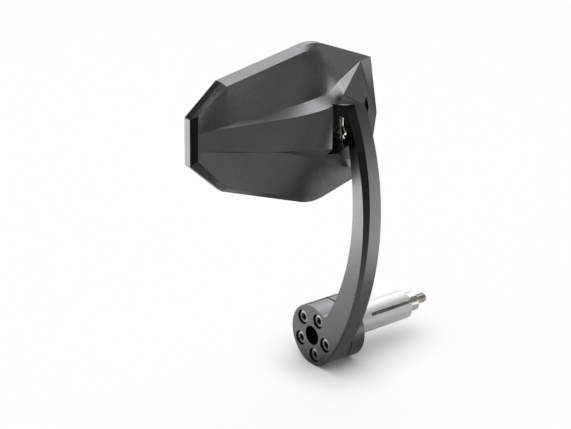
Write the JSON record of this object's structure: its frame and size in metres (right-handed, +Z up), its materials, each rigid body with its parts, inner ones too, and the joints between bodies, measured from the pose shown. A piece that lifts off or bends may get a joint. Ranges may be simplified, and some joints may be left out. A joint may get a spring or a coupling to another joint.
{
  "type": "motorcycle bar end mirror",
  "caption": "Faceted rear-view mirror on a curved flat arm, with a ball joint and a plug that expands inside the end of a handlebar.",
  "frame": {"origin": "where the clamp axis meets the end face of the handlebar, on the drum's seat face", "axes": "+Y along the clamp axis into the handlebar, +Z up, +X towards the back of the mirror housing"},
  "size_m": [0.0559, 0.1492, 0.1692],
  "materials": {
    "black_anodised": "fine bead-blasted black anodising",
    "turned_aluminium": "satin, finely turned",
    "nickel_plated": "warm nickel plating",
    "dark_chrome": "polished",
    "black_steel": "black oxide with bright worn edges",
    "seat_plastic": "smooth nylon",
    "spring_steel": "plain spring steel",
    "mirror_coating": "silvered glass",
    "pad_foam": "adhesive foam"
  },
  "bodies": {
    "arm_side": {"arm": "black_anodised", "bar_end_drum": "black_anodised", "plug_sleeve": "turned_aluminium", "ball_stud": "dark_chrome", "stud_lock_screw": "black_steel", "arm_screw_1": "black_steel", "arm_screw_2": "black_steel", "arm_screw_3": "black_steel", "arm_screw_4": "black_steel", "arm_screw_5": "black_steel"},
    "expander": {"expander_bolt": "nickel_plated", "bolt_washer": "nickel_plated"},
    "cone": {"expander_cone": "nickel_plated"},
    "swivel_seat": {"upper_seat": "seat_plastic"},
    "roll_seat": {"lower_seat": "seat_plastic"},
    "mirror_head": {"mirror_housing": "black_anodised", "mirror_glass": "mirror_coating", "glass_pad": "pad_foam", "retainer_ring": "black_steel", "pressure_cup": "black_steel", "disc_spring": "spring_steel"}
  },
  "joints": [
    {"name": "head_swivel", "type": "hinge", "parent": "arm_side", "child": "swivel_seat", "pos_m": [0.0148, -0.017, 0.1014], "axis": [0, 0, 1], "range_deg": [-10, 10]},
    {"name": "head_roll", "type": "hinge", "parent": "swivel_seat", "child": "roll_seat", "pos_m": [0.0148, -0.017, 0.1014], "axis": [1, 0, 0], "range_deg": [-5, 5]},
    {"name": "head_tilt", "type": "hinge", "parent": "roll_seat", "child": "mirror_head", "pos_m": [0.0148, -0.017, 0.1014], "axis": [0, 1, 0], "range_deg": [-5, 5]},
    {"name": "expander_turn", "type": "hinge", "parent": "arm_side", "child": "expander", "pos_m": [0, 0, 0], "axis": [0, 1, 0], "range_deg": [0, 720]},
    {"name": "cone_draw", "type": "slide", "parent": "arm_side", "child": "cone", "axis": [0, -1, 0], "range_m": [0, 0.0017]}
  ],
  "couplings": [
    {"joint": "cone_draw", "follows": "expander_turn", "m_per_rad": 0.00012732}
  ]
}
